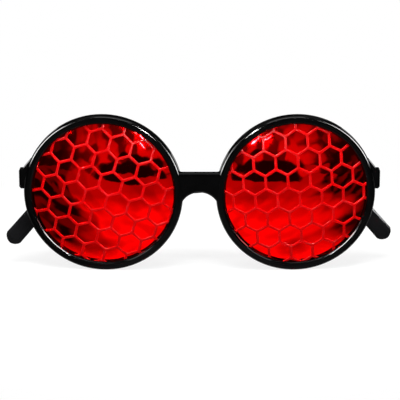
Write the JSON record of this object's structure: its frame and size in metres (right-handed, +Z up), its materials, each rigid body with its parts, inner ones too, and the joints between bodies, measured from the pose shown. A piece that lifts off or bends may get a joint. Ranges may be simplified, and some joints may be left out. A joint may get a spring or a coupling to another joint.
{
  "type": "costume glasses",
  "caption": "Round black costume glasses with domed red honeycomb lenses, a saddle bridge and folding temples.",
  "frame": {"origin": "bottom middle of the bounding box with the temples folded, under the bridge, on the surface that the rims stand on", "axes": "+X to the wearer's left, +Y from the front back towards the wearer's face, +Z up"},
  "size_m": [0.1628, 0.0208, 0.0664],
  "materials": {
    "black_plastic": "glossy black moulded plastic",
    "red_mirror": "red mirror coating on a plastic lens",
    "hinge_steel": "nickelled steel"
  },
  "bodies": {
    "front": {"front_frame": "black_plastic", "right_lens": "red_mirror", "left_lens": "red_mirror", "right_front_leaf": "hinge_steel", "left_front_leaf": "hinge_steel", "right_front_leaf_screws": "hinge_steel", "left_front_leaf_screws": "hinge_steel", "right_hinge_screw": "hinge_steel", "left_hinge_screw": "hinge_steel"},
    "right_temple": {"right_temple": "black_plastic", "right_temple_leaf": "hinge_steel", "right_temple_leaf_screws": "hinge_steel"},
    "left_temple": {"left_temple": "black_plastic", "left_temple_leaf": "hinge_steel", "left_temple_leaf_screws": "hinge_steel"}
  },
  "joints": [
    {"name": "right_temple_hinge", "type": "hinge", "parent": "front", "child": "right_temple", "pos_m": [-0.07037, 0.00266, 0.0387], "axis": [0, 0, 1], "range_deg": [0, 88.6]},
    {"name": "left_temple_hinge", "type": "hinge", "parent": "front", "child": "left_temple", "pos_m": [0.07037, 0.00266, 0.0387], "axis": [0, 0, -1], "range_deg": [0, 91.2]}
  ]
}
